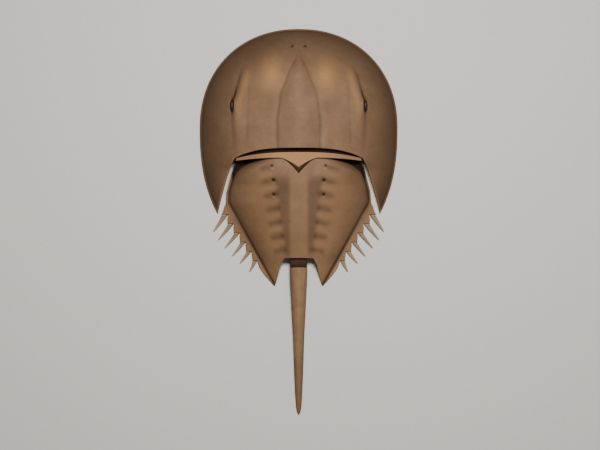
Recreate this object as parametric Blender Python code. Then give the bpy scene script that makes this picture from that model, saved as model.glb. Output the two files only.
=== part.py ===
# Horseshoe crab shell, lying on its rim. Front towards +Y, mirror plane X = 0, all dimensions in mm.
import math

import bmesh
import bpy

MM = 0.001

PROSOMA_HALF_WIDTH = 100.0
PROSOMA_WIDEST_Y = 95.0
PROSOMA_HEIGHT = 46.0
RIM_HEIGHT = 2.2
OUTLINE_POWER = 2.15
DOME_POWER = 2.6
GENAL_TIP = (82.5, 7.5)
HINGE_CORNER = (64.0, 64.0)
HINGE_CENTRE_Y = 73.9
WALL = 2.2
RIM_SHELF = 7.0

STRIP_END = (62.7, 63.6)
STRIP_CENTRE_Y = 69.6
LIP_DROP = 9.5
FLANGE_TOP = 3.4
SHOULDER_RISE = 17.0
NOTCH_HALF = 14.5
NOTCH_Y = -36.5
LOBE_TIP_Y = -64.3
GROOVE_START = (71.0, 20.0)
GROOVE_END = (25.0, -63.0)

SPINE_COUNT = 6
NOTCH_VERTEX = (71.4, 7.3)
NOTCH_STEP = (-5.9, -9.3)
SPINE_ROOT_HALF = 2.6
SPINE_GAP = 0.45
SPINE_Z = 2.2

COLLAR_AXIS = (-41.2, 12.0)
COLLAR_R = 6.5
COLLAR_HALF = 8.4
TELSON_START_Y = -45.2
TELSON_TIP_Y = -195.0
TELSON_CLEAR = 0.45

SHELL_BROWN = (0.27, 0.17, 0.11)
REAR_BROWN = (0.26, 0.16, 0.10)
DARK_BROWN = (0.08, 0.05, 0.035)
SPINE_BROWN = (0.20, 0.15, 0.11)
TAIL_BROWN = (0.25, 0.17, 0.10)


def clear_scene():
    for obj in list(bpy.data.objects):
        bpy.data.objects.remove(obj, do_unlink=True)


def material(name, colour, roughness=0.5):
    mat = bpy.data.materials.new(name)
    mat.use_nodes = True
    shader = mat.node_tree.nodes["Principled BSDF"]
    shader.inputs["Base Color"].default_value = (*colour, 1.0)
    shader.inputs["Roughness"].default_value = roughness
    shader.inputs["Metallic"].default_value = 0.0
    return mat


def smooth(value, low, high):
    t = min(1.0, max(0.0, (value - low) / (high - low)))
    return t * t * (3.0 - 2.0 * t)


def blend_points(points, value):
    """Straight-line interpolation through (key, value) pairs, keys falling."""
    for (k0, v0), (k1, v1) in zip(points, points[1:]):
        if value >= k1:
            return v0 + (v1 - v0) * (value - k0) / (k1 - k0)
    return points[-1][1]


def bell(value, width):
    return math.exp(-((value / width) ** 2))


# ---------------------------------------------------------------- prosoma

def side_half_width(y):
    return PROSOMA_HALF_WIDTH - 18.0 * (max(0.0, PROSOMA_WIDEST_Y - y) / 87.5) ** 2.5


def outline_ratio(x, y):
    """0 on the middle line, 1 on the outer margin."""
    if y < PROSOMA_WIDEST_Y:
        return abs(x) / side_half_width(y)
    a = abs(x) / PROSOMA_HALF_WIDTH
    b = (y - PROSOMA_WIDEST_Y) / 100.0
    return (a ** OUTLINE_POWER + b ** OUTLINE_POWER) ** (1.0 / OUTLINE_POWER)


def hinge_edge_y(x):
    return HINGE_CENTRE_Y - 9.9 * (min(abs(x), 64.0) / 64.0) ** 3.2


def genal_inner_x(y):
    part = min(1.0, max(0.0, (64.0 - y) / 56.5))
    return 64.0 + 18.5 * part ** 0.8


def prosoma_base(x, y):
    ratio = min(1.0, outline_ratio(x, y))
    fall = 1.0 - 0.10 * (max(0.0, PROSOMA_WIDEST_Y - y) / 87.5) ** 2
    z = RIM_HEIGHT + PROSOMA_HEIGHT * fall * (1.0 - ratio ** DOME_POWER)
    if y < 64.0:
        away = 0.93 * max(0.0, abs(x) - genal_inner_x(y))
        z -= 0.30 * z * math.exp(-away / 6.0) * smooth(64.0 - y, 0.0, 14.0)
    return z


def furrow_x(y):
    points = [(170, 0.5), (164, 2), (152, 8.5), (140, 13), (128, 18), (115, 19.5), (102, 21.5), (74, 21)]
    return blend_points(points, y)


def ridge_x(y):
    return blend_points([(155, 52), (138, 57), (118, 61), (100, 62), (64, 60)], y)


def prosoma_top(x, y):
    z = prosoma_base(x, y)
    side = abs(x)
    if y < 170.0:
        lift = smooth(170.0 - y, 0.0, 30.0)
        z += 1.5 * lift * max(0.0, 1.0 - side / (furrow_x(y) + 0.5))
        z -= 0.5 * lift * bell(side - furrow_x(y), 2.4)
    ridge = smooth(y, 64.0, 90.0) * smooth(158.0 - y, 0.0, 14.0)
    z += 2.0 * ridge * bell(side - ridge_x(y) + 2.0, 5.0)
    z += 2.4 * bell(side - 66.0, 3.6) * bell(y - 117.0, 9.0)
    margin = (1.0 - outline_ratio(x, y)) * side_half_width(y)
    z += 0.6 * bell(margin - 1.0, 0.9)
    return z


def prosoma_bottom(x, y):
    margin = (1.0 - outline_ratio(x, y)) * side_half_width(y)
    if margin < RIM_SHELF + 0.05:
        return 0.0
    hollow = 1.0
    if y < 64.0:
        hollow = smooth(side_half_width(y) - genal_inner_x(y), 12.0, 22.0)
    step = 0.5
    slope_x = (prosoma_base(x + step, y) - prosoma_base(x - step, y)) / (2 * step)
    slope_y = (prosoma_base(x, y + step) - prosoma_base(x, y - step)) / (2 * step)
    wall = min(6.0, WALL * math.sqrt(1.0 + slope_x ** 2 + slope_y ** 2))
    return max(0.0, hollow * (prosoma_base(x, y) - wall - 0.4))


def prosoma_line(t):
    """Inner and outer end of one fan line; t runs -1..1 from one genal tip to the other."""
    a = abs(t)
    sign = 1.0 if t >= 0 else -1.0
    if a <= 0.5:
        x_in = 64.0 * a / 0.5
        y_in = hinge_edge_y(x_in)
        angle = 0.5 * math.pi * a / 0.5
        x_out = PROSOMA_HALF_WIDTH * math.sin(angle) ** (2.0 / OUTLINE_POWER)
        y_out = PROSOMA_WIDEST_Y + 100.0 * max(0.0, math.cos(angle)) ** (2.0 / OUTLINE_POWER)
    else:
        b = (a - 0.5) / 0.5
        y_in = 64.0 - 56.4 * b
        x_in = genal_inner_x(y_in) - 0.6 * b ** 6
        y_out = PROSOMA_WIDEST_Y - 86.6 * b
        x_out = side_half_width(y_out) - 0.1 * b
    return (sign * x_in, y_in), (sign * x_out, y_out)


def prosoma_plan():
    columns = 52
    steps = 9
    plan = []
    for i in range(columns + 1):
        start, end = prosoma_line(-1.0 + 2.0 * i / columns)
        length = math.dist(start, end)
        shelf = min(10.0, 0.55 * length)
        inner = 1.0 - shelf / length
        rows = [inner * j / steps for j in range(steps + 1)]
        rows += [1.0 - shelf * f / length for f in (0.70, 0.25, 0.10, 0.0)]
        for r in rows:
            plan.append((start[0] + (end[0] - start[0]) * r, start[1] + (end[1] - start[1]) * r))
    across = steps + 5
    cells = []
    for i in range(columns):
        for j in range(across - 1):
            a = i * across + j
            cells.append((a, a + across, a + across + 1, a + 1))
    return plan, cells


# ---------------------------------------------------------------- opisthosoma

def notch_vertex(i):
    return (NOTCH_VERTEX[0] + NOTCH_STEP[0] * i, NOTCH_VERTEX[1] + NOTCH_STEP[1] * i)


def flange_x(y):
    first = notch_vertex(0)
    last = notch_vertex(SPINE_COUNT - 1)
    points = [(69.5, 61.5), (63.9, 62.5), (63.6, 62.7), (60, 63.1), (55, 65.6), (31.5, 72.2), (19, 73.4)]
    points += [(first[1], first[0])]
    points += [(last[1], last[0]), (-46, 39.6), (-53, 34.7), (-64.1, 24.9)]
    return blend_points(points, y)


def groove_x(y):
    if y > GROOVE_START[1]:
        return flange_x(y) - 2.7
    part = (GROOVE_START[1] - y) / (GROOVE_START[1] - GROOVE_END[1])
    line = GROOVE_START[0] + (GROOVE_END[0] - GROOVE_START[0]) * part
    return min(line, flange_x(y) - 0.9)


def notch_x(y):
    return blend_points([(-36.5, 14.5), (-43, 18), (-49, 19.6), (-62, 23), (-64.3, 23.9)], y)


def flange_top(y):
    return FLANGE_TOP + SHOULDER_RISE * smooth(y, 8.0, 62.0)


def crown_height(y):
    s = max(0.0, (60.0 - y) / 124.0)
    return 45.0 - 9.0 * s - 26.0 * s * s


def dome_foot_x(y):
    """Where the dome meets the flange, rounded off at its front corners."""
    return min(groove_x(y), 71.0 - 30.0 * (max(0.0, y - 20.0) / 43.5) ** 3.4)


def rear_base(x, y):
    low = flange_top(y) - 0.8
    ratio = abs(x) / max(20.0, dome_foot_x(y))
    if ratio >= 1.0:
        return low
    power = 2.4 + 2.4 * smooth(y, 34.0, 58.0)
    return low + (crown_height(y) - low) * (1.0 - ratio ** power)


def strip_top(x):
    y = hinge_edge_y(x)
    return prosoma_base(x, y + 0.5) - 0.6


def rear_top(x, y, row):
    if row <= 2:
        return prosoma_base(x, hinge_edge_y(x) + 0.5) - LIP_DROP
    if row <= 4:
        return strip_top(x) - (0.7 if row == 3 else 0.0)
    z = rear_base(x, y)
    side = abs(x)
    if side > groove_x(y):
        z = flange_top(y) - 0.8 * bell(side - groove_x(y), 0.8)
        z -= 0.7 * bell(side - flange_x(y), 0.5)
    z += 0.8 * bell(side, 5.0)
    for i in range(7):
        level = 55.0 - 14.0 * i
        inner = 33.0 - 2.6 * i
        z -= 0.8 * bell(y - level + 0.12 * (side - inner), 3.0) * bell(side - inner, 9.0)
    return min(z, strip_top(x) - 1.0) if row == 5 else z


def rear_bottom(x, y, row):
    if row <= 2:
        return prosoma_base(x, hinge_edge_y(x) + 0.5) - LIP_DROP - 2.4
    if row <= 4:
        return min(rear_base(x, 60.0) - 2.4, prosoma_base(x, hinge_edge_y(x) + 0.5) - LIP_DROP - 2.4)
    low = flange_top(y) - FLANGE_TOP
    if abs(x) >= groove_x(y) - 0.5:
        return low
    step = 0.5
    slope_x = (rear_base(x + step, y) - rear_base(x - step, y)) / (2 * step)
    slope_y = (rear_base(x, y + step) - rear_base(x, y - step)) / (2 * step)
    wall = min(7.0, (WALL + 0.4) * math.sqrt(1.0 + slope_x ** 2 + slope_y ** 2))
    hollow = smooth(y, -60.0, -48.0)
    return max(low, (rear_base(x, y) - wall - 0.6) * hollow)


# (middle-line y, margin y, depth of the backward V) of each row of the main field, then the lobe rows
MAIN_ROWS = [
    (77.0, 69.5, 0.0), (73.0, 66.6, 0.0), (69.9, 63.9, 0.0), (69.6, 63.6, 0.0), (64.2, 61.0, 9.0),
    (62.6, 60.2, 13.5), (58.0, 58.0, 11.0), (53.0, 55.0, 7.0), (47.0, 50.5, 2.0), (41.5, 45.0, 0.0),
    (35.0, 37.0, 0.0), (28.0, 29.0, 0.0),
    (21.0, 21.0, 0.0), (14.0, 13.0, 0.0), (7.0, 5.0, 0.0), (0.0, -3.0, 0.0), (-8.0, -11.0, 0.0),
    (-16.0, -19.0, 0.0), (-24.0, -27.0, 0.0), (-31.0, -34.0, 0.0), (-36.5, -39.2, 0.0),
]
LOBE_ROWS = [(-43.0, -45.0), (-49.0, -50.5), (-55.5, -56.0), (-61.0, -61.0), (-64.3, -63.9)]


def row_columns(y_mid, y_margin, inner):
    xs = []
    if inner == NOTCH_HALF:
        xs += [inner * j / 4.0 for j in range(4)]
    groove = groove_x(y_margin)
    edge = flange_x(y_margin)
    xs += [inner + (groove - inner) * j / 8.0 for j in range(9)]
    xs += [groove + (edge - groove) * f for f in (0.35, 0.75, 1.0)]
    return xs


def rear_plan():
    """Half field of points with their row numbers, mirrored by the caller."""
    plan = []
    rows = []
    for k, (y_mid, y_margin, vee) in enumerate(MAIN_ROWS):
        edge = flange_x(y_margin)
        row = []
        for x in row_columns(y_mid, y_margin, NOTCH_HALF):
            y = y_margin + (y_mid - y_margin) * (1.0 - (x / edge) ** 2.6)
            y -= vee * max(0.0, 1.0 - x / 19.0) ** 1.5
            row.append(len(plan))
            plan.append((x, y, k))
        rows.append(row)
    for k, (y_wall, y_margin) in enumerate(LOBE_ROWS):
        edge = flange_x(y_margin)
        inner = notch_x(y_wall)
        row = [None] * 4
        for x in row_columns(y_wall, y_margin, inner):
            y = y_wall + (y_margin - y_wall) * (x - inner) / (edge - inner)
            row.append(len(plan))
            plan.append((x, y, 100 + k))
        rows.append(row)
    cells = []
    for upper, lower in zip(rows, rows[1:]):
        for j in range(len(upper) - 1):
            if lower[j] is not None:
                cells.append((upper[j], lower[j], lower[j + 1], upper[j + 1]))
    return plan, cells


# ---------------------------------------------------------------- solids

def two_layer_solid(name, top, bottom, cells, mat):
    """Closed solid from an upper and a lower layer of points sharing one set of plan cells."""
    bm = bmesh.new()
    upper = [bm.verts.new([c * MM for c in p]) for p in top]
    lower = [bm.verts.new([c * MM for c in p]) for p in bottom]
    edges = {}
    for cell in cells:
        bm.faces.new([upper[i] for i in cell])
        bm.faces.new([lower[i] for i in reversed(cell)])
        for a, b in zip(cell, cell[1:] + cell[:1]):
            edges[(a, b)] = True
    for a, b in list(edges):
        if (b, a) not in edges:
            bm.faces.new([upper[a], lower[a], lower[b], upper[b]][::-1])
    bmesh.ops.recalc_face_normals(bm, faces=bm.faces)
    return finish(name, bm, mat)


def finish(name, bm, mat):
    mesh = bpy.data.meshes.new(name)
    bm.normal_update()
    bm.to_mesh(mesh)
    bm.free()
    for poly in mesh.polygons:
        poly.use_smooth = True
    mesh.materials.append(mat)
    obj = bpy.data.objects.new(name, mesh)
    bpy.context.scene.collection.objects.link(obj)
    return obj


def loft(name, rings, mat):
    """Closed solid through rings of equal point count, capped at both ends."""
    bm = bmesh.new()
    loops = [[bm.verts.new([c * MM for c in p]) for p in ring] for ring in rings]
    for first, second in zip(loops, loops[1:]):
        for a, b, c, d in zip(first, first[1:] + first[:1], second[1:] + second[:1], second):
            bm.faces.new((a, b, c, d))
    bm.faces.new(loops[0][::-1])
    bm.faces.new(loops[-1])
    bmesh.ops.recalc_face_normals(bm, faces=bm.faces)
    return finish(name, bm, mat)


def build_prosoma(mat):
    plan, cells = prosoma_plan()
    top = [(x, y, prosoma_top(x, y)) for x, y in plan]
    bottom = [(x, y, prosoma_bottom(x, y)) for x, y in plan]
    return two_layer_solid("prosoma", top, bottom, cells, mat)


def tooth_outline(i):
    """Plan of the fixed tooth that carries spine i: crook, outer corner, notch vertex."""
    before = notch_vertex(i - 1)
    front = (before[0] - 0.7, before[1] - 1.1)
    rear = notch_vertex(i)
    if i == 0:
        front = (73.2, 18.6)
    corner = (rear[0] + 6.9 - 0.35 * i, rear[1] - 0.6)
    crook = (corner[0] - 0.1, min(front[1] - 4.3, corner[1] + 4.0))
    if i == 0:
        crook = (75.6, 13.5)
    inward = 2.2
    return [(front[0] - inward, front[1]), front, crook, corner, rear, (rear[0] - inward, rear[1] + 1.2)]


def build_opisthosoma(mat):
    half, half_cells = rear_plan()
    plan = list(half)
    index = []
    for i, (x, y, row) in enumerate(half):
        if x == 0.0:
            index.append(i)
        else:
            index.append(len(plan))
            plan.append((-x, y, row))
    cells = list(half_cells) + [tuple(index[i] for i in reversed(c)) for c in half_cells]
    top = [(x, y, rear_top(x, y, row)) for x, y, row in plan]
    bottom = [(x, y, rear_bottom(x, y, row)) for x, y, row in plan]
    shell = two_layer_solid("opisthosoma", top, bottom, cells, mat)
    teeth = bmesh.new()
    for i in range(SPINE_COUNT):
        for sign in (-1.0, 1.0):
            ring = tooth_outline(i)
            low = [teeth.verts.new((sign * x * MM, y * MM, 0.2 * MM)) for x, y in ring]
            lift = (3.0, 3.1, 2.9, 2.9, 3.1, 3.0)
            high = [teeth.verts.new((sign * x * MM, y * MM, z * MM)) for (x, y), z in zip(ring, lift)]
            for a in range(6):
                b = (a + 1) % 6
                teeth.faces.new((low[a], low[b], high[b], high[a]))
            teeth.faces.new(low[::-1])
            teeth.faces.new(high)
    bmesh.ops.triangulate(teeth, faces=[f for f in teeth.faces if len(f.verts) > 4])
    bmesh.ops.recalc_face_normals(teeth, faces=teeth.faces)
    cutter = finish("tooth_guide", teeth, mat)
    cutter.hide_render = True
    cutter.display_type = "WIRE"
    union = shell.modifiers.new("teeth", "BOOLEAN")
    union.operation = "UNION"
    union.solver = "EXACT"
    union.object = cutter
    return shell


def spine_tip(i):
    tips = [(86.0, -9.7), (81.2, -18.2), (74.8, -26.4), (67.4, -34.8), (59.6, -42.0), (49.7, -50.4)]
    return tips[i]


def spine_line(i):
    """Base centre, direction, length, half-width and base slant of spine i, right side."""
    ring = tooth_outline(i)
    corner = ring[3]
    rear = ring[4]
    edge = ((corner[0] - rear[0]), (corner[1] - rear[1]))
    size = math.hypot(*edge)
    edge = (edge[0] / size, edge[1] / size)
    base_x = (corner[0] + rear[0]) / 2 + edge[1] * SPINE_GAP
    base_y = (corner[1] + rear[1]) / 2 - edge[0] * SPINE_GAP
    tip = spine_tip(i)
    length = math.dist((base_x, base_y), tip)
    way = ((tip[0] - base_x) / length, (tip[1] - base_y) / length)
    lengthwise = edge[0] * way[0] + edge[1] * way[1]
    crosswise = -edge[0] * way[1] + edge[1] * way[0]
    half = min(SPINE_ROOT_HALF, 0.46 * size * crosswise)
    return (base_x, base_y), way, length, half, lengthwise / crosswise


def spine_rings(length, half):
    """Distance from the base, half-width, half-height of each cross-section."""
    rings = [(0.0, 0.70 * half, 1.0), (0.25, half, 1.35), (1.0, 0.95 * half, 1.45)]
    for part, wide, tall in ((0.12, 0.94, 1.4), (0.25, 0.86, 1.35), (0.5, 0.68, 1.2)):
        rings.append((part * length, wide * half, tall))
    for part, wide, tall in ((0.8, 0.44, 0.85), (0.96, 0.26, 0.55), (1.0, 0.1, 0.2)):
        rings.append((part * length, wide * half, tall))
    return rings


def build_spine(i, sign, mat):
    base, way, length, half, slant = spine_line(i)
    across = (-way[1], way[0])
    sides = 8
    loops = []
    for along, wide, tall in spine_rings(length, half):
        fade = 1.0 - smooth(along, 0.3, 0.36 * length)
        loop = []
        for k in range(sides):
            angle = 2 * math.pi * k / sides
            w = wide * math.cos(angle)
            reach = along + slant * w * fade
            x = base[0] + way[0] * reach + across[0] * w
            y = base[1] + way[1] * reach + across[1] * w
            loop.append((sign * x, y, SPINE_Z + tall * math.sin(angle)))
        loops.append(loop)
    name = "spine_{}_{}".format("right" if sign > 0 else "left", i + 1)
    return loft(name, loops, mat)


def build_collar(mat):
    y0, z0 = COLLAR_AXIS
    profile = []
    for k in range(24):
        angle = 2 * math.pi * k / 24
        profile.append((y0 + COLLAR_R * math.cos(angle), z0 + COLLAR_R * math.sin(angle)))
    rings = []
    for x, scale in ((-1.0, 0.86), (-0.94, 0.97), (-0.85, 1.0), (0.85, 1.0), (0.94, 0.97), (1.0, 0.86)):
        ring = [(x * COLLAR_HALF, y0 + (y - y0) * scale, z0 + (z - z0) * scale) for y, z in profile]
        rings.append(ring)
    return loft("telson_collar", rings, mat)


def telson_half_width(y):
    points = [(-44, 8.9), (-62, 8.4), (-80, 7.5), (-100, 6.5), (-115, 5.7), (-125, 5.4)]
    points += [(-140, 4.9), (-158, 4.3)]
    points += [(-170, 3.8), (-180, 3.3), (-188, 2.6), (-192, 1.8), (-195, 0.5)]
    return blend_points(points, y)


def telson_centre_z(y):
    part = (TELSON_START_Y - y) / (TELSON_START_Y - TELSON_TIP_Y)
    return 12.0 + (1.15 - 12.0) * part ** 0.9


def telson_section(y, face=None, scale=1.0):
    """Rounded triangle with a ridge on top; face shapes the hollow front end about the lift axis."""
    half = telson_half_width(y)
    tall = max(0.55, 0.62 * half)
    middle = telson_centre_z(y)
    ring = []
    square = smooth(y, -75.0, -48.0)
    for k in range(16):
        angle = 2 * math.pi * k / 16 + math.pi / 2
        x = half * math.copysign(abs(math.cos(angle)) ** (0.85 - 0.35 * square), math.cos(angle))
        s = math.sin(angle)
        rise = abs(s) ** (1.25 - 0.85 * square) * (1.06 - 0.16 * square)
        z = tall * (s if s < 0 else rise)
        z = max(z, -0.86 * tall) * scale
        x *= scale
        y_here = y
        if face is not None:
            y_here = COLLAR_AXIS[0] - math.sqrt(max(0.1, face ** 2 - (middle + z - COLLAR_AXIS[1]) ** 2))
        ring.append((x, y_here, max(0.0, middle + z)))
    return ring


def build_telson(mat):
    stations = [-50, -56, -62, -69, -80, -90, -100, -112, -124, -136]
    stations += [-148, -160, -170, -178, -186, -191, -194, -195]
    rings = []
    for scale in (0.15, 0.4, 0.6, 0.8, 1.0):
        rings.append(telson_section(TELSON_START_Y, COLLAR_R + TELSON_CLEAR, scale))
    for y in stations:
        rings.append(telson_section(float(y)))
    return loft("telson", rings, mat)


def main():
    clear_scene()
    build_prosoma(material("prosoma_shell", SHELL_BROWN))
    build_opisthosoma(material("rear_shell", REAR_BROWN))
    build_collar(material("collar_shell", DARK_BROWN))
    build_telson(material("tail_shell", TAIL_BROWN))
    for i in range(SPINE_COUNT):
        for sign, label in ((-1.0, "left"), (1.0, "right")):
            build_spine(i, sign, material("spine_shell_{}_{}".format(label, i + 1), SPINE_BROWN))


main()
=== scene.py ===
import math

import bmesh
import bpy
import numpy as np
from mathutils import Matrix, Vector


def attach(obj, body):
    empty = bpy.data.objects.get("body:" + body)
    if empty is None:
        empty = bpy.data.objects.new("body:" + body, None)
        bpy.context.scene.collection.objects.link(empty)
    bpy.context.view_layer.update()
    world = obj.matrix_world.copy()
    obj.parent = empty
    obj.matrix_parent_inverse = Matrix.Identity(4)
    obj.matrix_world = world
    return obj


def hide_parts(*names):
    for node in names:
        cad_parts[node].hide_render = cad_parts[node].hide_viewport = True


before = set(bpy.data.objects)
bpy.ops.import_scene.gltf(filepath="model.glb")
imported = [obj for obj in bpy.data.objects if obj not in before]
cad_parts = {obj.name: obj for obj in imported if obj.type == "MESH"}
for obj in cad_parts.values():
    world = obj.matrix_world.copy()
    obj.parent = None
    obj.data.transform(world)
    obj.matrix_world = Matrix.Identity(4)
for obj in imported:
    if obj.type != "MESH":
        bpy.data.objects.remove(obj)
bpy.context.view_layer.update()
print("frame loaded")

mm = 0.001
sharpAngle = 0.9  # radians, above which an edge of a shell stays crisp
underTone = (0.35, 0.0, 0.0)  # tone of every underside: some painted shade (red), no paler tone and no edge shade


def hexColour(code):  # sRGB hex to the linear values a shader wants
    parts = [int(code[i:i + 2], 16) / 255 for i in (0, 2, 4)]
    return tuple(c / 12.92 if c <= 0.04045 else ((c + 0.055) / 1.055) ** 2.4 for c in parts) + (1.0,)


def addNode(tree, kind, settings=None, links=None):  # one node with its settings and its links
    node = tree.nodes.new(kind)
    for key, value in (settings or {}).items():
        if isinstance(key, int) or key in node.inputs:
            node.inputs[key].default_value = value
        else:
            setattr(node, key, value)
    for key, (source, output) in (links or {}).items():
        tree.links.new(source.outputs[output], node.inputs[key])
    return node


def fadeIn(value, low, high):  # smooth step from 0 to 1
    t = np.clip((value - low) / (high - low), 0.0, 1.0)
    return t * t * (3.0 - 2.0 * t)


def bell(value, width):
    return np.exp(-((value / width) ** 2))


def along(points, value):  # value read off a line through (key, value) pairs
    ordered = sorted(points)
    return np.interp(value, [p[0] for p in ordered], [p[1] for p in ordered])


def tonePaint(mesh, values):  # red is painted shade in creases and recesses, green is paler (painted highlight, partly rubbed wear), blue is painted shade towards an edge
    mark = mesh.color_attributes.new("tone", "FLOAT_COLOR", "POINT")
    colours = np.ones((len(mesh.vertices), 4), np.float32)
    colours[:, :3] = values
    mark.data.foreach_set("color", colours.ravel())


def placed(name, data):
    item = bpy.data.objects.new(name, data)
    bpy.context.scene.collection.objects.link(item)
    return item


def faceOutward(mesh):
    bm = bmesh.new()
    bm.from_mesh(mesh)
    bmesh.ops.recalc_face_normals(bm, faces=bm.faces)
    bm.to_mesh(mesh)
    bm.free()


def bake(piece):  # what the piece's modifiers make, as its plain mesh
    finished = bpy.data.meshes.new_from_object(piece.evaluated_get(bpy.context.evaluated_depsgraph_get()))
    piece.modifiers.clear()
    piece.data = finished
    return finished


def newPiece(name, bm):
    mesh = bpy.data.meshes.new(name)
    bm.to_mesh(mesh)
    bm.free()
    faceOutward(mesh)
    mesh.polygons.foreach_set("use_smooth", [True] * len(mesh.polygons))
    return placed(name, mesh)


# an upper and a lower skin over one plan, closed by a wall round the plan's edge
def skinMesh(name, top, bottom, cells, tone):
    count = len(top)
    faces = [tuple(c) for c in cells]
    faces += [tuple(i + count for i in reversed(c)) for c in cells]
    edges = set()
    for cell in cells:
        for a, b in zip(cell, cell[1:] + cell[:1]):
            edges.add((a, b))
    faces += [(b, a, a + count, b + count) for a, b in edges if (b, a) not in edges]
    mesh = bpy.data.meshes.new(name)
    mesh.from_pydata(np.vstack((top, bottom)) * mm, [], faces)
    mesh.update()
    tonePaint(mesh, np.vstack((tone, np.tile(underTone, (count, 1)))))
    faceOutward(mesh)
    mesh.polygons.foreach_set("use_smooth", [True] * len(mesh.polygons))
    mesh.set_sharp_from_angle(angle=sharpAngle)
    return placed(name, mesh)


def gridCells(columns, rows):
    return [(i * rows + j, (i + 1) * rows + j, (i + 1) * rows + j + 1, i * rows + j + 1)
            for i in range(columns - 1) for j in range(rows - 1)]


headShape = {
    "halfWidth": 100.0, "widestY": 95.0, "frontReach": 100.0, "outlinePower": 2.15,
    "tipY": 7.5, "tipNarrowing": 18.0,  # the genal spines, behind the widest place
    "height": 46.0, "rimHeight": 2.2, "domePower": 2.6, "tipFall": 0.10,
    "hingeY": 73.9, "hingeEndX": 64.0, "hingeEndY": 64.0, "hingeBow": 9.9,
    "genalSpread": 18.5, "genalDip": 0.30, "dipReach": 6.0, "dipSlant": 0.93, "dipFade": 14.0,
    "wall": 2.2, "thickest": 6.0, "skinGap": 0.4, "shelf": 7.0, "shelfStep": 1.6,
    "columns": 190, "steps": 96, "stepPower": 0.97,  # per side, and from the hinge to the rim
    "innerRun": 56.4, "outerRun": 86.6, "tipPinch": 0.6, "tipTuck": 0.1,
    "rimBand": 10.0, "rimShare": 0.55,  # the finer rows near the margin
    "rimRows": [0.92, 0.84, 0.78, 0.73, 0.68, 0.6, 0.52, 0.44, 0.37, 0.31, 0.26, 0.21, 0.17, 0.13, 0.09, 0.06,
                0.03, 0.012, 0.0],
}


def headBehind(y):  # 0 at the widest place, 1 at the tips of the genal spines
    return np.maximum(0.0, headShape["widestY"] - y) / (headShape["widestY"] - headShape["tipY"])


def headSideWidth(y):
    return headShape["halfWidth"] - headShape["tipNarrowing"] * headBehind(y) ** 2.5


def headRatio(x, y):  # 0 on the middle line, 1 on the margin
    power = headShape["outlinePower"]
    ahead = np.maximum(0.0, y - headShape["widestY"]) / headShape["frontReach"]
    front = (np.abs(x / headShape["halfWidth"]) ** power + ahead ** power) ** (1.0 / power)
    return np.where(y < headShape["widestY"], np.abs(x) / headSideWidth(y), front)


def headMargin(x, y):  # distance in from the margin
    return (1.0 - headRatio(x, y)) * headSideWidth(y)


def hingeEdgeY(x):
    end = headShape["hingeEndX"]
    return headShape["hingeY"] - headShape["hingeBow"] * (np.minimum(np.abs(x), end) / end) ** 3.2


def genalInnerX(y):
    part = np.clip((headShape["hingeEndY"] - y) / (headShape["hingeEndY"] - headShape["tipY"]), 0.0, 1.0)
    return headShape["hingeEndX"] + headShape["genalSpread"] * part ** 0.8


def headBase(x, y):
    ratio = np.minimum(1.0, headRatio(x, y))
    fall = 1.0 - headShape["tipFall"] * headBehind(y) ** 2
    z = headShape["rimHeight"] + headShape["height"] * fall * (1.0 - ratio ** headShape["domePower"])
    away = headShape["dipSlant"] * np.maximum(0.0, np.abs(x) - genalInnerX(y))
    near = np.exp(-away / headShape["dipReach"])
    near = near * fadeIn(headShape["hingeEndY"] - y, 0.0, headShape["dipFade"])
    return np.where(y < headShape["hingeEndY"], z - headShape["genalDip"] * z * near, z)


headRelief = {  # millimetres: a rise goes up from the plain dome, a depth goes down into it
    "furrowLine": [(170, 0.5), (164, 2), (152, 8.5), (140, 13), (128, 18), (115, 19.5), (102, 21.5),
                   (74, 21)],
    "ridgeLine": [(156, 51), (149, 54), (138, 57), (128, 60), (118, 62), (100, 62.5), (80, 61.5), (64, 60)],
    "foldLine": [(140, 50), (75, 52.5)],
    "browLine": [(133, 62.6), (126, 64.4), (121, 66.6)],
    "lobeFront": 176.0, "lobeFade": 34.0, "lobeRise": 1.9,
    "furrowFront": 178.0, "furrowFade": 20.0, "furrowWidth": 1.2, "furrowDepth": 0.35,
    "bankOut": 6.0, "bankWidth": 4.5, "bankRise": 0.5,
    "shoulderAt": (27.0, 146.0), "shoulderSize": (10.0, 14.0), "shoulderRise": 1.3,
    "ridgeInner": 8.0, "ridgeOuter": 3.6, "ridgeRise": 2.2,
    "creaseOut": 4.4, "creaseWidth": 1.4, "creaseDepth": 0.6,
    "foldWidth": 1.6, "foldDepth": 0.22,
    "moundAt": (66.5, 116.5), "moundSize": (4.4, 10.5), "moundRise": 2.4,
    "slitAt": (67.3, 116.3), "slitSize": (1.7, 6.4), "slitDepth": 3.4,
    "browAt": (64.4, 118.5), "browSize": (0.8, 6.5), "browRise": 0.7,
    "frontCreaseY": 127.0, "frontCreaseSize": (0.8, 5.0), "frontCreaseDepth": 0.8,
    "ocellusAt": (6.4, 176.7), "ocellusWidth": 1.3, "ocellusDepth": 0.8,
    "rimIn": 0.9, "rimWidth": 0.7, "rimRise": 0.5, "rimGrooveIn": 2.4, "rimGrooveDepth": 0.25,
    "marginWidth": 0.35, "marginDepth": 0.9, "edgeWidth": 0.7, "edgeDepth": 0.7,
    "faraway": 9.0, "edgeShadeReach": 46.0,
}


def spotAt(side, y, place, size):  # a smooth round or oval spot, 1 at its middle
    return bell(side - place[0], size[0]) * bell(y - place[1], size[1])


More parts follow.
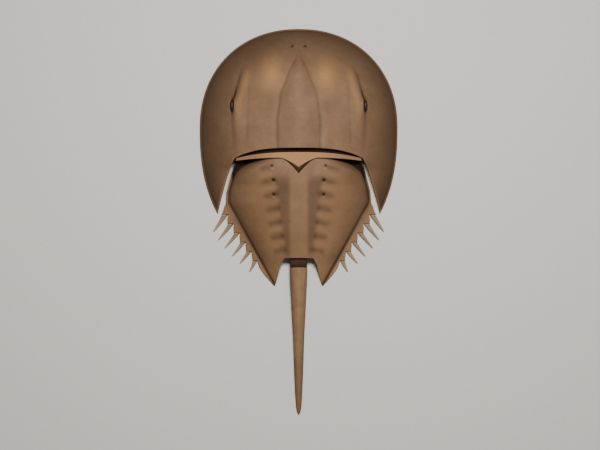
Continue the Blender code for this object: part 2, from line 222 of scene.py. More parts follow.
def headTop(x, y):
    relief = headRelief
    side = np.abs(x)
    z = headBase(x, y)
    furrow = along(relief["furrowLine"], y)
    lift = fadeIn(relief["lobeFront"] - y, 0.0, relief["lobeFade"])
    roof = np.maximum(0.0, 1.0 - side / (furrow + 0.5)) ** 0.9
    z = z + relief["lobeRise"] * lift * roof  # the heart lobe, a low roof
    groove = fadeIn(relief["furrowFront"] - y, 0.0, relief["furrowFade"])
    groove = groove * bell(side - furrow - 0.4, relief["furrowWidth"])
    z = z - relief["furrowDepth"] * groove
    z = z + relief["bankRise"] * lift * bell(side - furrow - relief["bankOut"], relief["bankWidth"])
    place, size = relief["shoulderAt"], relief["shoulderSize"]
    shoulder = bell(np.hypot((side - place[0]) / size[0], (y - place[1]) / size[1]), 1.0)
    z = z + relief["shoulderRise"] * shoulder
    off = side - along(relief["ridgeLine"], y)
    reach = fadeIn(y, 62.0, 96.0) * fadeIn(160.0 - y, 0.0, 18.0)  # the ridge fades at both ends
    ridge = np.where(off < 0.0, bell(off, relief["ridgeInner"]), bell(off, relief["ridgeOuter"]))
    z = z + relief["ridgeRise"] * reach * ridge
    crease = reach * bell(off - relief["creaseOut"], relief["creaseWidth"])
    crease = crease * (0.45 + 0.55 * fadeIn(y, 100.0, 122.0))
    z = z - relief["creaseDepth"] * crease
    fold = bell(side - along(relief["foldLine"], y), relief["foldWidth"])
    fold = fold * fadeIn(y, 72.0, 84.0) * fadeIn(142.0 - y, 0.0, 10.0)
    z = z - relief["foldDepth"] * fold
    z = z + relief["moundRise"] * spotAt(side, y, relief["moundAt"], relief["moundSize"])
    slit = spotAt(side, y, relief["slitAt"], relief["slitSize"])
    z = z - relief["slitDepth"] * np.minimum(1.0, 1.5 * slit)  # the eye sits in this slit
    brow = spotAt(side, y, relief["browAt"], relief["browSize"])
    z = z + relief["browRise"] * brow
    frontCrease = bell(side - along(relief["browLine"], y), relief["frontCreaseSize"][0])
    frontCrease = frontCrease * bell(y - relief["frontCreaseY"], relief["frontCreaseSize"][1])
    z = z - relief["frontCreaseDepth"] * frontCrease
    place = relief["ocellusAt"]
    ocellus = bell(np.hypot(side - place[0], y - place[1]), relief["ocellusWidth"])
    z = z - relief["ocellusDepth"] * ocellus
    margin = headMargin(x, y)
    rim = bell(margin - relief["rimIn"], relief["rimWidth"])
    rimGroove = bell(margin - relief["rimGrooveIn"], relief["rimWidth"])
    z = z + relief["rimRise"] * rim - relief["rimGrooveDepth"] * rimGroove
    z = z - relief["marginDepth"] * bell(margin, relief["marginWidth"])
    hingeAway = np.where(side < 64.5, y - hingeEdgeY(x), relief["faraway"])
    z = z - relief["edgeDepth"] * bell(hingeAway, 0.6)
    genalAway = np.where(y < headShape["hingeEndY"], side - genalInnerX(y), relief["faraway"])
    z = z - relief["edgeDepth"] * bell(genalAway, 0.5) + 0.3 * bell(genalAway - 1.5, 0.8)
    # painted shade: the furrows, creases and fold, the eye slit, the ocellus pits, the rim groove and the
    # heart lobe towards its furrows
    lobeShade = lift * fadeIn(side, 0.0, 0.6 * furrow) * (side < furrow)
    dark = 0.32 * groove + 0.45 * crease + np.minimum(1.0, 1.4 * slit) + 0.95 * ocellus + 0.8 * frontCrease
    dark = np.clip(dark + 0.25 * rimGroove + 0.12 * fold + 0.16 * lobeShade, 0.0, 1.0)
    # painted highlight: the rim bead, the eye ridges, the brows, the genal and hinge edges and the shoulder
    # bulges
    ridgeGlow = reach * bell(off + 2.5, 3.5) * fadeIn(y, 96.0, 120.0)
    pale = 0.30 * rim + 0.35 * ridgeGlow + 0.6 * brow + 0.5 * bell(genalAway - 0.9, relief["edgeWidth"])
    pale = np.clip(pale + 0.75 * shoulder + 0.25 * bell(hingeAway - 0.9, 0.6), 0.0, 1.0)
    # painted shade darkening towards the margin, partly the shell's real darker margin
    edge = np.clip(1.0 - margin / relief["edgeShadeReach"], 0.0, 1.0) ** 1.3
    return z, np.stack((dark, pale, edge), axis=1)


def slopeOf(height, x, y):  # how much longer the surface is than its plan
    step = 0.5
    dx = (height(x + step, y) - height(x - step, y)) / (2 * step)
    dy = (height(x, y + step) - height(x, y - step)) / (2 * step)
    return np.sqrt(1.0 + dx ** 2 + dy ** 2)


def headBottom(x, y):
    spineWidth = headSideWidth(y) - genalInnerX(y)
    hollow = np.where(y < headShape["hingeEndY"], fadeIn(spineWidth, 12.0, 22.0), 1.0)  # the spines are solid
    wall = np.minimum(headShape["thickest"], headShape["wall"] * slopeOf(headBase, x, y))
    z = np.maximum(0.0, hollow * (headBase(x, y) - wall - headShape["skinGap"]))
    return z * fadeIn(headMargin(x, y), headShape["shelf"], headShape["shelf"] + headShape["shelfStep"])


def buildHeadShield():
    shape = headShape
    t = np.linspace(-1.0, 1.0, 2 * shape["columns"] + 1)
    a = np.abs(t)
    sign = np.where(t < 0.0, -1.0, 1.0)
    fan = a <= 0.5  # the columns that start on the hinge; the others run along the genal spines
    b = np.clip((a - 0.5) / 0.5, 0.0, 1.0)
    angle = 0.5 * math.pi * np.minimum(1.0, a / 0.5)
    curve = 2.0 / shape["outlinePower"]
    innerY = shape["hingeEndY"] - shape["innerRun"] * b
    outerY = shape["widestY"] - shape["outerRun"] * b
    hingeX = 2.0 * shape["hingeEndX"] * a
    xIn = np.where(fan, hingeX, genalInnerX(innerY) - shape["tipPinch"] * b ** 6)
    yIn = np.where(fan, hingeEdgeY(hingeX), innerY)
    frontY = shape["widestY"] + shape["frontReach"] * np.maximum(0.0, np.cos(angle)) ** curve
    yOut = np.where(fan, frontY, outerY)
    sideX = headSideWidth(outerY) - shape["tipTuck"] * b
    xOut = np.where(fan, shape["halfWidth"] * np.sin(angle) ** curve, sideX)
    length = np.hypot(xOut - xIn, yOut - yIn)
    band = np.minimum(shape["rimBand"], shape["rimShare"] * length) / length
    first = np.linspace(0.0, 1.0, shape["steps"] + 1) ** shape["stepPower"]
    last = np.array(shape["rimRows"])
    rows = ((1.0 - band)[:, None] * first[None, :], 1.0 - band[:, None] * last[None, :])
    rows = np.concatenate(rows, axis=1)
    x = (sign[:, None] * (xIn[:, None] + (xOut - xIn)[:, None] * rows)).ravel()
    y = (yIn[:, None] + (yOut - yIn)[:, None] * rows).ravel()
    z, tone = headTop(x, y)
    low = np.maximum(0.0, np.minimum(headBottom(x, y), z - 0.5))
    return skinMesh("headShieldShell", np.stack((x, y, z), axis=1), np.stack((x, y, low), axis=1),
                    gridCells(rows.shape[0], rows.shape[1]), tone)


rearShape = {
    "notchHalf": 14.5, "flangeTop": 3.4, "shoulderRise": 17.0, "shoulderSpan": (8.0, 62.0),
    "vertex": (71.4, 7.3), "vertexStep": (-5.9, -9.3), "spines": 6,
    "shoulderX": 71.0, "shoulderY": 20.0, "tipX": 25.0, "tipY": -63.0,  # the groove runs straight
    "cornerCut": 30.0, "cornerSpan": 43.5,
    "crown": 45.0, "crownFall": (9.0, 26.0), "crownY": 60.0, "crownSpan": 124.0, "domePower": (2.4, 2.4),
    "wall": 2.6, "thickest": 7.0, "skinGap": 0.6, "overTail": 1.3,
    "lipDrop": 9.5, "stripDrop": 0.6, "lipWall": 2.4,
    "middleCells": 18, "fieldCells": 52, "rowsPerStep": 8,
    "flangeRows": (0.12, 0.25, 0.4, 0.55, 0.7, 0.82, 0.9, 0.96, 1.0),
}


def notchVertex(i):
    return tuple(rearShape["vertex"][k] + rearShape["vertexStep"][k] * i for k in (0, 1))


# y and x of the margin, from the hinge to the tip of the rear lobe
flangeLine = [(69.5, 61.5), (63.9, 62.5), (63.6, 62.7), (60, 63.1), (55, 65.6), (31.5, 72.2), (19, 73.4)]
flangeLine += [notchVertex(0)[::-1], notchVertex(5)[::-1], (-46, 39.6), (-53, 34.7), (-64.1, 24.9)]


def flangeX(y):
    return along(flangeLine, y)


def softMin(a, b, width):  # the smaller of two lines, with their corner rounded
    return -width * np.logaddexp(-a / width, -b / width)


def grooveX(y):  # straight from the shoulder to the tip, then along the flange
    inset = 0.9 + 1.8 * fadeIn(y, -10.0, 20.0)
    slant = (rearShape["shoulderX"] - rearShape["tipX"]) * (rearShape["shoulderY"] - y)
    straight = rearShape["shoulderX"] - slant / (rearShape["shoulderY"] - rearShape["tipY"])
    return softMin(straight, flangeX(y) - inset, 0.8)


def flangeHeight(y):
    return rearShape["flangeTop"] + rearShape["shoulderRise"] * fadeIn(y, *rearShape["shoulderSpan"])


def domeFootX(y):  # where the dome meets the flange, rounded off at its front corners
    ahead = np.maximum(0.0, y - rearShape["shoulderY"]) / rearShape["cornerSpan"]
    return softMin(grooveX(y), rearShape["shoulderX"] - rearShape["cornerCut"] * ahead ** 3.4, 1.2)


def rearBase(x, y):
    behind = np.maximum(0.0, (rearShape["crownY"] - y) / rearShape["crownSpan"])
    fall = rearShape["crownFall"]
    crown = rearShape["crown"] - fall[0] * behind - fall[1] * behind * behind
    low = flangeHeight(y) - 0.8
    ratio = np.minimum(1.0, np.abs(x) / np.maximum(20.0, domeFootX(y)))
    power = rearShape["domePower"][0] + rearShape["domePower"][1] * fadeIn(y, 34.0, 58.0)
    return low + (crown - low) * (1.0 - ratio ** power)


def lipTop(x):  # the tongue that slides under the head shield
    return headBase(x, hingeEdgeY(x) + 0.5) - rearShape["lipDrop"]


def stripTop(x):
    return headBase(x, hingeEdgeY(x) + 0.5) - rearShape["stripDrop"]


# the parts of the rear shield that a row of points can lie on
lipPart = 0
stripPart = 1
bevelFoot = 2
fieldPart = 3
bevelTop = 4

rearRelief = {  # millimetres
    "seamWidth": 1.5, "flangeDip": 0.8, "flangeEdge": 0.7,
    "ribLine": [(56, 26.5), (40, 25), (13, 21.5), (-14, 18), (-31, 15)],
    "ribCount": 7, "ribFirst": 55.0, "ribStep": 14.0, "ribSlant": 0.20, "ribWidth": 3.1, "ribDepth": 0.72,
    "ribFade": (8.0, 19.0), "crestBehind": 7.0, "crestWidth": 3.0, "crestRise": 0.18,
    "axisSpan": (6.0, 12.0), "valleyDepth": 0.6,
    "pits": ((56.0, 27.0), (41.8, 25.5), (27.4, 25.2)), "pitWidth": 1.35, "pitDepth": 2.1,
    "glintAway": (0.3, 2.2), "glintWidth": 1.2, "glintRise": 0.6,
    "cornerDepth": 2.0, "bevelDrop": 0.35, "bevelDepth": 2.2,
    "paleBandOut": 0.6, "paleBandWidth": 14.0,
}


def ribbing(side, y):  # hollows and crests of the ribs, and the line where they start
    relief = rearRelief
    innerX = along(relief["ribLine"], y)
    ribs = np.zeros_like(side)
    crests = np.zeros_like(side)
    for i in range(relief["ribCount"]):
        level = relief["ribFirst"] - relief["ribStep"] * i
        start = innerX + (3.0 if i == 0 else -2.0)
        fading = fadeIn(side, innerX + relief["ribFade"][0], innerX + relief["ribFade"][1] - i)
        reach = fadeIn(side, start - 3.0, start + 1.0) * (1.0 - fading)
        slant = relief["ribSlant"] * (side - innerX)
        ribs += bell(y - level + slant, relief["ribWidth"]) * reach
        if i < relief["ribCount"] - 1:
            crests += bell(y - level + relief["crestBehind"] + slant, relief["crestWidth"]) * reach
    return ribs, crests, innerX


def pitting(side, y):  # the three pits of each side, and the small glints behind them
    pits = np.zeros_like(side)
    glint = np.zeros_like(side)
    awayX, awayY = rearRelief["glintAway"]
    for level, inner in rearRelief["pits"]:
        pits += bell(np.hypot(side - inner, y - level), rearRelief["pitWidth"])
        glint += bell(np.hypot(side - inner + awayX, y - level + awayY), rearRelief["glintWidth"])
    return pits, glint


def rearTop(x, y, stage):
    relief = rearRelief
    side = np.abs(x)
    groove = grooveX(y)
    flange = flangeHeight(y) - relief["flangeDip"] * bell(side - groove, 0.8)
    flange = flange - relief["flangeEdge"] * bell(side - flangeX(y), 0.4)
    z = np.where(side > groove, flange, rearBase(x, y))
    seam = bell(side - groove, relief["seamWidth"]) * fadeIn(60.0 - y, 0.0, 10.0)
    ribs, crests, innerX = ribbing(side, y)
    z = z - relief["ribDepth"] * ribs + relief["crestRise"] * crests
    valley = fadeIn(side, 6.0, 12.5) * (1.0 - fadeIn(side, innerX - 6.0, innerX + 4.0 - 2.0 * crests))
    valley = valley * fadeIn(50.0 - y, 0.0, 12.0) * fadeIn(y, -40.0, -30.0)
    z = z - relief["valleyDepth"] * valley
    pits, glint = pitting(side, y)
    z = z - relief["pitDepth"] * pits + relief["glintRise"] * glint
    corner = fadeIn(side - domeFootX(y), -0.9, 0.4) * fadeIn(y, 40.0, 52.0)
    z = z - relief["cornerDepth"] * corner * (side < groove)
    strip = stripTop(x)
    z = np.where(stage == bevelFoot, np.minimum(z - 0.6, strip - relief["bevelDepth"]), z)
    z = np.where(stage == bevelTop, strip - relief["bevelDrop"], z)
    z = np.where(stage == stripPart, strip, z)
    z = np.where(stage == lipPart, lipTop(x), z)
    return z, rearTone(side, y, stage, (seam, ribs, crests, valley, pits, glint, corner))


def rearTone(side, y, stage, relief):
    seam, ribs, crests, valley, pits, glint, corner = relief
    groove = grooveX(y)
    middle = 1.0 - fadeIn(side, *rearRelief["axisSpan"])
    # a paler band over the dome's sides and paler rear lobes
    paleDomeBand = bell(side - rearRelief["paleBandOut"] * groove, rearRelief["paleBandWidth"])
    paleDomeBand = paleDomeBand * fadeIn(y, -45.0, -20.0)
    paleLobesAndBand = 0.30 * fadeIn(-y, 34.0, 50.0) + 0.26 * paleDomeBand * fadeIn(54.0 - y, 0.0, 18.0)
    # painted shade: the groove seam, rib hollows, pits, corner hollows and the band beside the middle line
    dark = np.clip(0.75 * seam + 0.36 * ribs + pits + corner + 0.40 * valley, 0.0, 1.0)
    # the strip has no painted shade; its bevel is painted shade, and the bevel foot and the tongue under the
    # head shield are painted black shadow
    dark = np.where(stage == stripPart, 0.0, np.where(stage == bevelTop, 0.72, dark))
    dark = np.where((stage == bevelFoot) | (stage == lipPart), 1.0, dark)
    # painted highlight: the flange edge, the middle line, the glints behind the pits and the rib crests, plus
    # the paler band and lobes
    pale = 0.4 * bell(side - flangeX(y) + 0.8, 0.8) + 0.12 * middle + 0.8 * glint + 0.12 * crests
    pale = np.clip(pale + paleLobesAndBand * (1.0 - seam), 0.0, 1.0)
    # the lit strip is a painted highlight, fading towards its ends
    pale = np.where(stage == stripPart, 0.78 - 0.45 * fadeIn(side, 18.0, 50.0), pale)
    pale = np.where(stage == lipPart, 0.0, pale)
    # painted shade towards the sides of the dome
    edge = 0.35 * np.clip(side / groove, 0.0, 1.0) ** 3 * (stage == fieldPart)
    return np.stack((dark, pale, edge), axis=1)


def rearBottom(x, y, stage):
    low = flangeHeight(y) - rearShape["flangeTop"]
    wall = np.minimum(rearShape["thickest"], rearShape["wall"] * slopeOf(rearBase, x, y))
    overTail = fadeIn(-y, 20.0, 30.0) * (1.0 - fadeIn(np.abs(x), 14.0, 20.0))
    wall = wall - rearShape["overTail"] * overTail  # thinner above the tail joint
    z = np.maximum(low, (rearBase(x, y) - wall - rearShape["skinGap"]) * fadeIn(y, -60.0, -48.0))
    z = np.where(np.abs(x) >= grooveX(y) - 0.5, low, z)
    lipLow = lipTop(x) - rearShape["lipWall"]
    z = np.where(stage == lipPart, lipLow, z)
    frontLow = rearBase(x, np.full_like(y, rearShape["crownY"])) - rearShape["lipWall"]
    return np.where((stage == stripPart) | (stage == bevelTop), np.minimum(frontLow, lipLow), z)


# guide rows: y on the middle line and on the margin, depth and half-width of the backward V, and the part
mainRows = [(77.0, 69.5, 0.0, 20.0, lipPart), (69.9, 63.9, 0.0, 20.0, lipPart)]
mainRows += [(69.6, 63.7, 0.0, 20.0, stripPart), (68.8, 63.2, 0.0, 20.0, stripPart)]
mainRows += [(64.4, 61.2, 9.3, 20.0, stripPart)]
mainRows += [(64.2, 61.1, 9.9, 20.0, bevelTop), (63.7, 60.9, 15.1, 18.0, bevelFoot)]
fieldRows = [(60.5, 59.4, 13.2), (57.0, 57.4, 11.0), (53.0, 54.6, 8.3), (49.0, 51.4, 5.4), (45.0, 48.0, 2.6)]
fieldRows += [(41.2, 44.5, 0.0), (35.0, 37.0, 0.0), (28.0, 29.0, 0.0), (21.0, 21.0, 0.0), (14.0, 13.0, 0.0)]
fieldRows += [(7.0, 5.0, 0.0), (0.0, -3.0, 0.0), (-8.0, -11.0, 0.0), (-16.0, -19.0, 0.0), (-24.0, -27.0, 0.0)]
fieldRows += [(-31.0, -34.0, 0.0), (-36.5, -39.2, 0.0)]
mainRows += [row + (18.0, fieldPart) for row in fieldRows]
lobeRows = [(-36.5, -39.2), (-43.0, -45.0), (-49.0, -50.5), (-55.5, -56.0), (-61.0, -61.0), (-64.3, -63.9)]
notchLine = [(-36.5, 14.5), (-43, 18), (-49, 19.6), (-62, 23), (-64.3, 23.9)]


def finerRows(rows, count):  # guide rows with even steps between them; a change of part is one sharp step
    out = []
    for low, high in zip(rows, rows[1:]):
        staged = len(low) == 5
        jump = staged and low[4] != high[4] and low[4] != bevelFoot
        depths = [row[2] if staged else 0.0 for row in (low, high)]
        longest = max(abs(high[0] - low[0]), abs(high[0] - depths[1] - low[0] + depths[0]))
        stepCount = 1 if jump else max(2, min(count, round(1.3 * longest)))
        for k in range(stepCount):
            part = k / stepCount
            mixed = [a + (b - a) * part for a, b in zip(low[:4], high[:4])]
            if staged:
                mixed.append(high[4] if k > 0 and low[4] == bevelFoot else low[4])
            out.append(tuple(mixed))
    out.append(rows[-1])
    return out


def rearRowX(yMargin, inner, withMiddle):
    groove = float(grooveX(np.array(yMargin)))
    edge = float(flangeX(np.array(yMargin)))
    cells = rearShape["fieldCells"]
    xs = list(inner * np.arange(rearShape["middleCells"]) / rearShape["middleCells"]) if withMiddle else []
    xs += list(inner + (groove - inner) * np.arange(cells + 1) / cells)
    xs += [groove + (edge - groove) * part for part in rearShape["flangeRows"]]
    return np.array(xs), edge


def buildRearShield():  # the right half is laid out row by row, then mirrored
    points, stages, rows = [], [], []
    for yMid, yMargin, vee, veeHalf, stage in finerRows(mainRows, rearShape["rowsPerStep"]):
        x, edge = rearRowX(yMargin, rearShape["notchHalf"], True)
        y = yMargin + (yMid - yMargin) * (1.0 - (x / edge) ** 2.6)
        y = y - vee * np.maximum(0.0, 1.0 - x / veeHalf) ** 1.5
        rows.append(list(range(len(points), len(points) + len(x))))
        points += list(zip(x, y))
        stages += [stage] * len(x)
    for yWall, yMargin in finerRows(lobeRows, rearShape["rowsPerStep"])[1:]:
        inner = float(along(notchLine, yWall))
        x, edge = rearRowX(yMargin, inner, False)
        y = yWall + (yMargin - yWall) * (x - inner) / (edge - inner)
        rows.append([None] * rearShape["middleCells"] + list(range(len(points), len(points) + len(x))))
        points += list(zip(x, y))
        stages += [fieldPart] * len(x)
    cells = [(upper[j], lower[j], lower[j + 1], upper[j + 1]) for upper, lower in zip(rows, rows[1:])
             for j in range(len(upper) - 1) if lower[j] is not None]
    mirror, plan, stageList = [], list(points), list(stages)
    for i, (x, y) in enumerate(points):
        if x == 0.0:
            mirror.append(i)
        else:
            mirror.append(len(plan))
            plan.append((-x, y))
            stageList.append(stages[i])
    cells += [tuple(mirror[i] for i in reversed(c)) for c in cells]
    plan = np.array(plan)
    x, y, stage = plan[:, 0], plan[:, 1], np.array(stageList)
    z, tone = rearTop(x, y, stage)
    low = np.maximum(0.0, np.minimum(rearBottom(x, y, stage), z - 0.6))
    upper = np.stack((x, y, z), axis=1)
    lower = np.stack((x, y, low), axis=1)
    return skinMesh("rearShieldShell", upper, lower, cells, tone)


toothShape = {
    "topInner": 3.1, "topOuter": 2.7, "bottom": 0.15, "round": 0.45, "inward": 2.6,
    "reach": 6.9, "reachStep": 0.35, "swell": 0.5, "firstFront": (73.2, 18.6), "firstCrook": (75.6, 13.5),
    "sharpAngle": 0.7, "tone": (0.15, 0.35, 0.25),
}


def toothOutline(i):  # plan of the tooth that carries spine i, right side
    rear = notchVertex(i)
    corner = (rear[0] + toothShape["reach"] - toothShape["reachStep"] * i, rear[1] - 0.6)
    if i == 0:
        return [toothShape["firstFront"], toothShape["firstCrook"], corner, rear]
    before = notchVertex(i - 1)
    front = (before[0] - 0.5, before[1] - 0.8)
    crook = (corner[0] - 0.1, min(front[1] - 4.3, corner[1] + 4.0))
    return [front, crook, corner, rear]


def toothRing(i):  # the outline with its outer edge swollen and its corners eased
    front, crook, corner, rear = toothOutline(i)
    inward = toothShape["inward"]
    ring = [(front[0] - inward, front[1] + 0.3), front]
    for part in (0.35, 0.7, 1.0):
        swell = toothShape["swell"] * math.sin(math.pi * part)
        x = front[0] + (crook[0] - front[0]) * part + swell
        ring.append((x, front[1] + (crook[1] - front[1]) * part + 0.3 * swell))
    ring += [((crook[0] + corner[0]) / 2 - 0.25, (crook[1] + corner[1]) / 2), (corner[0], corner[1] + 0.3)]
    ring.append(((corner[0] + rear[0]) / 2, (corner[1] + rear[1]) / 2 + 0.55))
    ring += [rear, (rear[0] - inward, rear[1] + 1.2)]
    return ring


def buildTeeth():
    bm = bmesh.new()
    lift = [toothShape["topInner"]] * 2 + [toothShape["topOuter"]] * 6 + [toothShape["topInner"]] * 2
    for i in range(rearShape["spines"]):
        ring = toothRing(i)
        count = len(ring)
        for sign in (-1.0, 1.0):
            low = [bm.verts.new((sign * x * mm, y * mm, toothShape["bottom"] * mm)) for x, y in ring]
            high = [bm.verts.new((sign * x * mm, y * mm, z * mm)) for (x, y), z in zip(ring, lift)]
            for a in range(count):
                b = (a + 1) % count
                bm.faces.new((low[a], low[b], high[b], high[a]))
            bm.faces.new(low[::-1])
            bm.faces.new(high)
    teeth = newPiece("flangeTeeth", bm)
    bevel = teeth.modifiers.new("roundedEdges", "BEVEL")
    bevel.width = toothShape["round"] * mm
    bevel.segments = 3
    bevel.limit_method = "ANGLE"
    finished = bake(teeth)
    finished.polygons.foreach_set("use_smooth", [True] * len(finished.polygons))
    finished.set_sharp_from_angle(angle=toothShape["sharpAngle"])
    tonePaint(finished, toothShape["tone"])
    return teeth


spineShape = {
    "rootHalf": 2.6, "rootShare": 0.46, "gap": 0.45, "middleZ": 2.2, "bow": 0.35, "sides": 24, "stations": 56,
    "tips": [(86.0, -9.7), (81.2, -18.2), (74.8, -26.4), (67.4, -34.8), (59.6, -42.0), (49.7, -50.4)],
    "taper": [(0.0, 0.72), (0.015, 0.98), (0.05, 1.0), (0.12, 0.96), (0.2, 0.91), (0.3, 0.84), (0.5, 0.69),
              (0.75, 0.49), (0.93, 0.3), (0.98, 0.19), (1.0, 0.06)],  # girth along the spine
    "slantSpan": (0.015, 0.36), "flatSpan": (0.0, 0.5), "flatness": (-0.44, -0.22),
    "darkSpan": (0.0, 0.12), "dark": (0.45, 0.03), "paleSpan": (0.1, 1.0), "pale": (0.3, 0.9), "edge": 0.2,
}


def spineLine(i):  # base centre, direction, tip, half-width and slant of the base of spine i, right side
    corner, rear = (np.array(p) for p in toothOutline(i)[2:])
    toothLength = float(np.linalg.norm(corner - rear))
    edge = (corner - rear) / np.linalg.norm(corner - rear)
    base = (corner + rear) / 2 + np.array((edge[1], -edge[0])) * spineShape["gap"]
    tip = np.array(spineShape["tips"][i])
    way = (tip - base) / np.linalg.norm(tip - base)
    across = np.array((-way[1], way[0]))
    crosswise = float(edge @ across)
    half = min(spineShape["rootHalf"], spineShape["rootShare"] * toothLength * crosswise)
    return base, way, across, tip, half, float(edge @ way) / crosswise


def newTree(name, vectors, numbers):  # a tree with named inputs, and the identifier of each
    tree = bpy.data.node_groups.new(name, "GeometryNodeTree")
    ids = {}
    for key in vectors:
        ids[key] = tree.interface.new_socket(key, in_out="INPUT", socket_type="NodeSocketVector").identifier
    for key, value in numbers.items():
        kind = "NodeSocketInt" if isinstance(value, int) else "NodeSocketFloat"
        socket = tree.interface.new_socket(key, in_out="INPUT", socket_type=kind)
        socket.default_value = value
        ids[key] = socket.identifier
    tree.interface.new_socket("Geometry", in_out="OUTPUT", socket_type="NodeSocketGeometry")
    return tree, ids, tree.nodes.new("NodeGroupInput")


def endTree(tree, source, material):  # source is the last node of the shape
    real = addNode(tree, "GeometryNodeRealizeInstances", links={"Geometry": (source, "Geometry")})
    coated = addNode(tree, "GeometryNodeSetMaterial", {"Material": material},
                     {"Geometry": (real, "Geometry")})
    addNode(tree, "NodeGroupOutput", links={"Geometry": (coated, "Geometry")})


def remap(tree, source, span, values, smooth=False):  # source is a node and its output
    settings = {"interpolation_type": "SMOOTHSTEP"} if smooth else {}
    settings.update({"From Min": span[0], "From Max": span[1], "To Min": values[0], "To Max": values[1]})
    return addNode(tree, "ShaderNodeMapRange", settings, {"Value": source})


def product(tree, first, second):  # second is a plain number or a node and its output
    settings = {"operation": "MULTIPLY"}
    if isinstance(second, tuple):
        return addNode(tree, "ShaderNodeMath", settings, {0: first, 1: second})
    settings[1] = second
    return addNode(tree, "ShaderNodeMath", settings, {0: first})


def spineCurve(tree, entry):  # the bowed middle line, and the place along it kept for later
    line = addNode(tree, "GeometryNodeCurveQuadraticBezier", {"Resolution": 64},
                   {"Start": (entry, "Root"), "Middle": (entry, "Bend"), "End": (entry, "Tip")})
    even = addNode(tree, "GeometryNodeResampleCurve", {"Count": spineShape["stations"]},
                   {"Curve": (line, "Curve")})
    factor = addNode(tree, "GeometryNodeSplineParameter")
    taper = addNode(tree, "ShaderNodeFloatCurve", links={"Value": (factor, "Factor")})
    points = taper.mapping.curves[0].points
    points[0].location = spineShape["taper"][0]
    points[1].location = spineShape["taper"][-1]
    for place in spineShape["taper"][1:-1]:
        points.new(*place)
    taper.mapping.update()
    girth = product(tree, (taper, "Value"), (entry, "Root Half"))
    kept = addNode(tree, "GeometryNodeCaptureAttribute")
    kept.capture_items.new("FLOAT", "Factor")
    tree.links.new(even.outputs["Curve"], kept.inputs["Geometry"])
    tree.links.new(factor.outputs["Factor"], kept.inputs["Factor"])
    return kept, girth


def spineOffset(tree, entry, kept):  # slants the base and flattens the root
    place = addNode(tree, "GeometryNodeInputPosition")
    fromRoot = addNode(tree, "ShaderNodeVectorMath", {"operation": "SUBTRACT"},
                       {0: (place, "Position"), 1: (entry, "Root")})
    sideways = addNode(tree, "ShaderNodeVectorMath", {"operation": "DOT_PRODUCT"},
                       {0: (fromRoot, "Vector"), 1: (entry, "Across")})
    fade = remap(tree, (kept, "Factor"), spineShape["slantSpan"], (1.0, 0.0), smooth=True)
    slanted = product(tree, (sideways, "Value"), (entry, "Slant"))
    pushed = product(tree, (slanted, "Value"), (fade, "Result"))
    slide = addNode(tree, "ShaderNodeVectorMath", {"operation": "SCALE"},
                    {0: (entry, "Way"), "Scale": (pushed, "Value")})
    parts = addNode(tree, "ShaderNodeSeparateXYZ", links={"Vector": (fromRoot, "Vector")})
    flatness = remap(tree, (kept, "Factor"), spineShape["flatSpan"], spineShape["flatness"])
    squeeze = product(tree, (parts, "Z"), (flatness, "Result"))
    lowered = addNode(tree, "ShaderNodeCombineXYZ", links={"Z": (squeeze, "Value")})
    return addNode(tree, "ShaderNodeVectorMath", {"operation": "ADD"},
                   {0: (slide, "Vector"), 1: (lowered, "Vector")})


def spineTree(material):  # a tapering horn whose base is cut parallel to its tooth
    tree, ids, entry = newTree("movableSpine", ("Root", "Bend", "Tip", "Way", "Across"),
                               {"Root Half": spineShape["rootHalf"] * mm, "Slant": 0.8})
    kept, girth = spineCurve(tree, entry)
    ring = addNode(tree, "GeometryNodeCurvePrimitiveCircle",
                   {"Resolution": spineShape["sides"], "Radius": 1.0})
    solid = addNode(tree, "GeometryNodeCurveToMesh", {"Fill Caps": True},
                    {"Curve": (kept, "Geometry"), "Profile Curve": (ring, "Curve"),
                     "Scale": (girth, "Value")})
    shift = spineOffset(tree, entry, kept)
    shaped = addNode(tree, "GeometryNodeSetPosition",
                     links={"Geometry": (solid, "Mesh"), "Offset": (shift, "Vector")})
    # darker at the root (painted shade where the spine meets its tooth), paler towards the tip, with a little
    # painted edge shade
    darkRoot = remap(tree, (kept, "Factor"), spineShape["darkSpan"], spineShape["dark"])
    paleTip = remap(tree, (kept, "Factor"), spineShape["paleSpan"], spineShape["pale"])
    mix = addNode(tree, "FunctionNodeCombineColor", {"Blue": spineShape["edge"]},
                  {"Red": (darkRoot, "Result"), "Green": (paleTip, "Result")})
    painted = addNode(tree, "GeometryNodeStoreNamedAttribute",
                      {"data_type": "FLOAT_COLOR", "domain": "POINT", "Name": "tone"},
                      {"Geometry": (shaped, "Geometry"), "Value": (mix, "Color")})
    rounded = addNode(tree, "GeometryNodeSetShadeSmooth", links={"Geometry": (painted, "Geometry")})
    endTree(tree, rounded, material)
    return tree, ids


def grownPiece(name, tree, settings):  # runs a tree on an empty mesh and keeps the result as a plain mesh
    piece = placed(name, bpy.data.meshes.new(name))
    modifier = piece.modifiers.new("grown", "NODES")
    modifier.node_group = tree
    for identifier, value in settings.items():
        modifier[identifier] = value
    faceOutward(bake(piece))
    return piece


def buildSpines(material):
    tree, ids = spineTree(material)
    spines = {}
    for i in range(rearShape["spines"]):
        base, way, across, tip, half, slant = spineLine(i)
        middle = (base + tip) / 2 - across * spineShape["bow"]
        for sign, label in ((-1.0, "left"), (1.0, "right")):
            settings = {ids["Root Half"]: half * mm, ids["Slant"]: slant}
            for key, spot in (("Root", base), ("Bend", middle), ("Tip", tip)):
                settings[ids[key]] = (sign * spot[0] * mm, spot[1] * mm, spineShape["middleZ"] * mm)
            for key, arrow in (("Way", way), ("Across", across)):
                settings[ids[key]] = (sign * arrow[0], arrow[1], 0.0)
            name = "spine_{}_{}".format(label, i + 1)
            spines[name] = grownPiece(name.replace("_", "") + "Thorn", tree, settings)
    return spines


